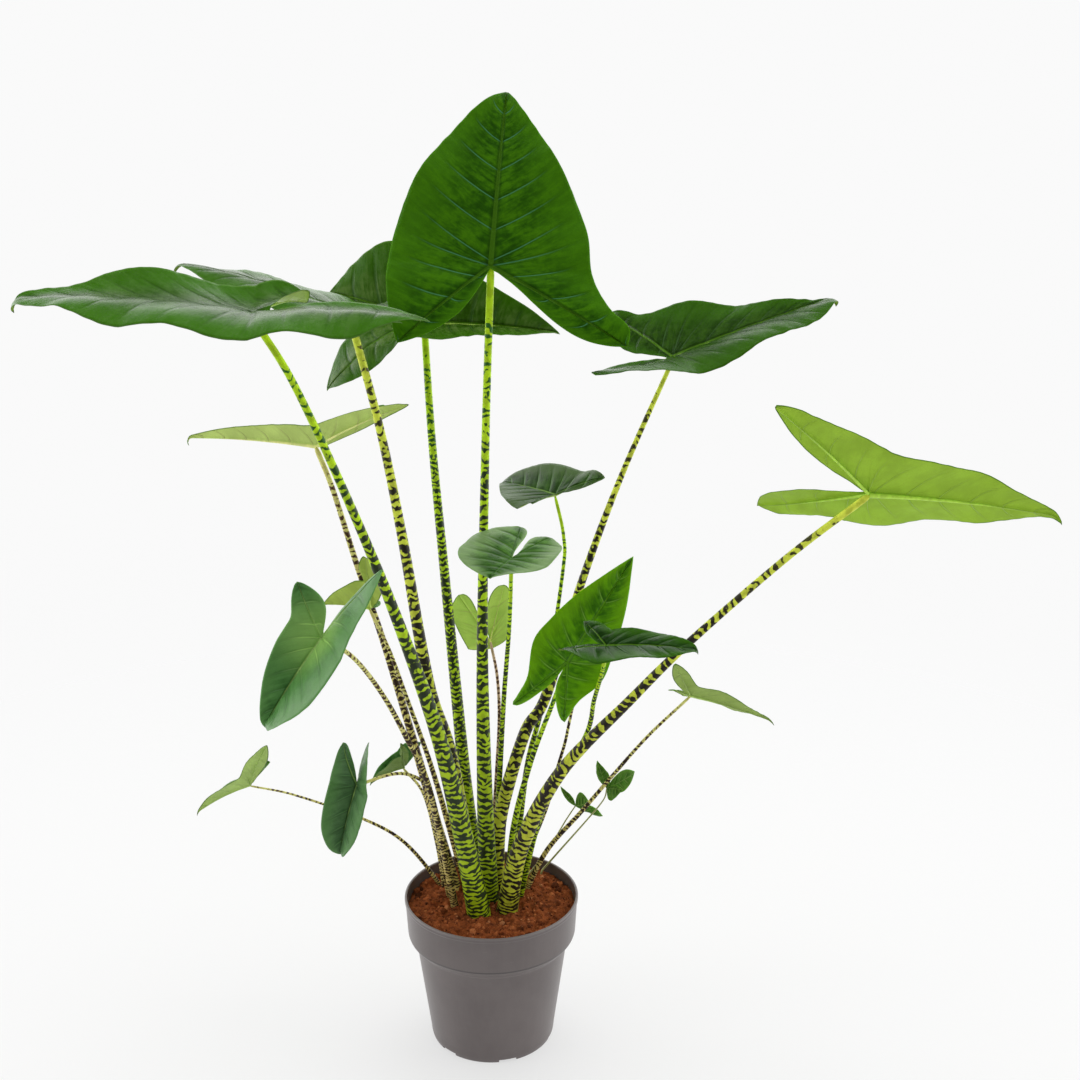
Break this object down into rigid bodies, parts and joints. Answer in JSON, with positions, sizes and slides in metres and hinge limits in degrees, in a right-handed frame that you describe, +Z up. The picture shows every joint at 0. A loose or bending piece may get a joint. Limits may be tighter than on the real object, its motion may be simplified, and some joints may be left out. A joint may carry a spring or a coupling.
{
  "type": "potted house plant",
  "caption": "Tall arrow-leaved house plant with barred leaf stalks that fan out of a round tapered nursery pot filled with soil.",
  "frame": {"origin": "middle of the pot's foot on the surface it stands on", "axes": "+Z up; -Y is the side towards the viewer of the picture; +X is to that viewer's right"},
  "size_m": [1.0639, 0.4773, 1.1192],
  "materials": {
    "pot": "semi-matte moulded plastic, taupe",
    "soil": "loose reddish-brown coconut fibre soil",
    "blade_rich": "satin mid-green leaf with an olive midrib",
    "blade_dark": "glossy dark green leaf with pale ribs",
    "blade_pale": "green leaf whose pale underside shows, with yellow ribs",
    "blade_bright": "satin bright young leaf",
    "blade_blue": "matte blue-green leaf",
    "blade_grey": "satin grey-green leaf",
    "stalk_lime": "smooth lime-green leaf stalk with blackish bars",
    "stalk_yellow": "smooth yellow-green leaf stalk with dark brown bars",
    "stalk_tan": "smooth tan leaf stalk with brown flecks",
    "stalk_pink": "smooth pinkish-tan leaf stalk with brown flecks",
    "seedling": "matte green seedling"
  },
  "bodies": {
    "root": {"pot": "pot", "soil": "soil", "crown_blade": "blade_rich", "crown_stalk": "stalk_lime", "long_left_blade": "blade_dark", "long_left_stalk": "stalk_lime", "back_left_blade": "blade_dark", "back_left_stalk": "stalk_yellow", "centre_back_blade": "blade_dark", "centre_back_stalk": "stalk_lime", "right_blade": "blade_dark", "right_stalk": "stalk_yellow", "far_right_blade": "blade_pale", "far_right_stalk": "stalk_yellow", "low_left_blade": "blade_pale", "low_left_stalk": "stalk_tan", "small_high_blade": "blade_grey", "small_high_stalk": "stalk_lime", "small_round_blade": "blade_grey", "small_round_stalk": "stalk_lime", "small_folded_blade": "blade_pale", "small_folded_stalk": "stalk_pink", "bright_blade": "blade_bright", "bright_stalk": "stalk_lime", "dark_small_blade": "blade_dark", "dark_small_stalk": "stalk_lime", "hidden_young_blade": "blade_rich", "hidden_young_stalk": "stalk_tan", "thin_right_blade": "blade_pale", "thin_right_stalk": "stalk_tan", "front_left_blade": "blade_blue", "front_left_stalk": "stalk_tan", "pale_left_blade": "blade_pale", "pale_left_stalk": "stalk_tan", "outer_left_blade": "blade_grey", "outer_left_stalk": "stalk_tan", "hanging_left_blade": "blade_blue", "hanging_left_stalk": "stalk_tan", "teal_left_blade": "blade_blue", "teal_left_stalk": "stalk_tan", "seedling_high": "seedling", "seedling_low": "seedling"}
  },
  "joints": []
}
